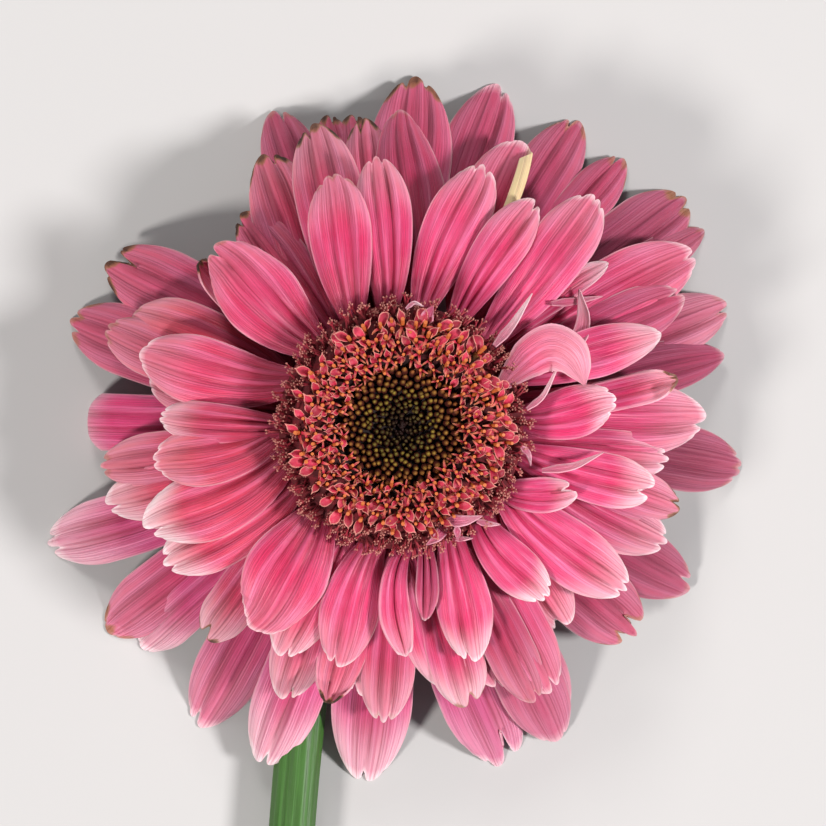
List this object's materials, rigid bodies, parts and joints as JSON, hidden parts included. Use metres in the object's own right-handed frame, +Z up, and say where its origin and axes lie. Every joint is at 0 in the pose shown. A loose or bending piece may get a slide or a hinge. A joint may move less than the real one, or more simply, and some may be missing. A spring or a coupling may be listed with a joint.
{
  "type": "cut gerbera flower",
  "caption": "Pink many-rowed gerbera head with notched petals and a dark green-eyed crimson disc, face up on its bent neck, its green stem along the table.",
  "frame": {"origin": "on the table, under the centre of the bounding box", "axes": "+Y along the stem from the cut end to the head; +Z up, the way the flower faces"},
  "size_m": [0.1138, 0.3206, 0.0371],
  "materials": {
    "petal_outer": "soft matt",
    "petal_middle": "soft matt",
    "petal_inner": "soft matt",
    "stem": "satin, finely hairy",
    "receptacle": "matt",
    "buds": "matt",
    "florets": "matt",
    "withered": "dry, matt"
  },
  "bodies": {
    "root": {"bud_disc": "buds", "floret_ring": "florets", "petal_inner_01": "petal_inner", "petal_inner_02": "petal_inner", "petal_inner_03": "petal_inner", "petal_inner_04": "petal_inner", "petal_inner_05": "petal_inner", "petal_inner_06": "petal_inner", "petal_inner_07": "petal_inner", "petal_inner_08": "petal_inner", "petal_inner_09": "petal_inner", "petal_inner_10": "petal_inner", "petal_inner_11": "petal_inner", "petal_inner_12": "petal_inner", "petal_inner_13": "petal_inner", "petal_inner_14": "petal_inner", "petal_inner_15": "petal_inner", "petal_inner_16": "petal_inner", "petal_inner_17": "petal_inner", "petal_inner_18": "petal_inner", "petal_inner_19": "petal_inner", "petal_inner_20": "petal_inner", "petal_middle_01": "petal_middle", "petal_middle_02": "petal_middle", "petal_middle_03": "petal_middle", "petal_middle_04": "petal_middle", "petal_middle_05": "petal_middle", "petal_middle_06": "petal_middle", "petal_middle_07": "petal_middle", "petal_middle_08": "petal_middle", "petal_middle_09": "petal_middle", "petal_middle_10": "petal_middle", "petal_middle_11": "petal_middle", "petal_middle_12": "petal_middle", "petal_middle_13": "petal_middle", "petal_middle_14": "petal_middle", "petal_middle_15": "petal_middle", "petal_middle_16": "petal_middle", "petal_middle_17": "petal_middle", "petal_outer_01": "petal_outer", "petal_outer_02": "petal_outer", "petal_outer_03": "petal_outer", "petal_outer_04": "petal_outer", "petal_outer_05": "petal_outer", "petal_outer_06": "petal_outer", "petal_outer_07": "petal_outer", "petal_outer_08": "petal_outer", "petal_outer_09": "petal_outer", "petal_outer_10": "petal_outer", "petal_outer_11": "petal_outer", "petal_outer_12": "petal_outer", "petal_outer_13": "petal_outer", "petal_outer_14": "petal_outer", "petal_outer_15": "petal_outer", "petal_outer_16": "petal_outer", "petal_outer_17": "petal_outer", "petal_outer_18": "petal_outer", "receptacle": "receptacle", "stem": "stem", "withered_ring": "withered"}
  },
  "joints": []
}
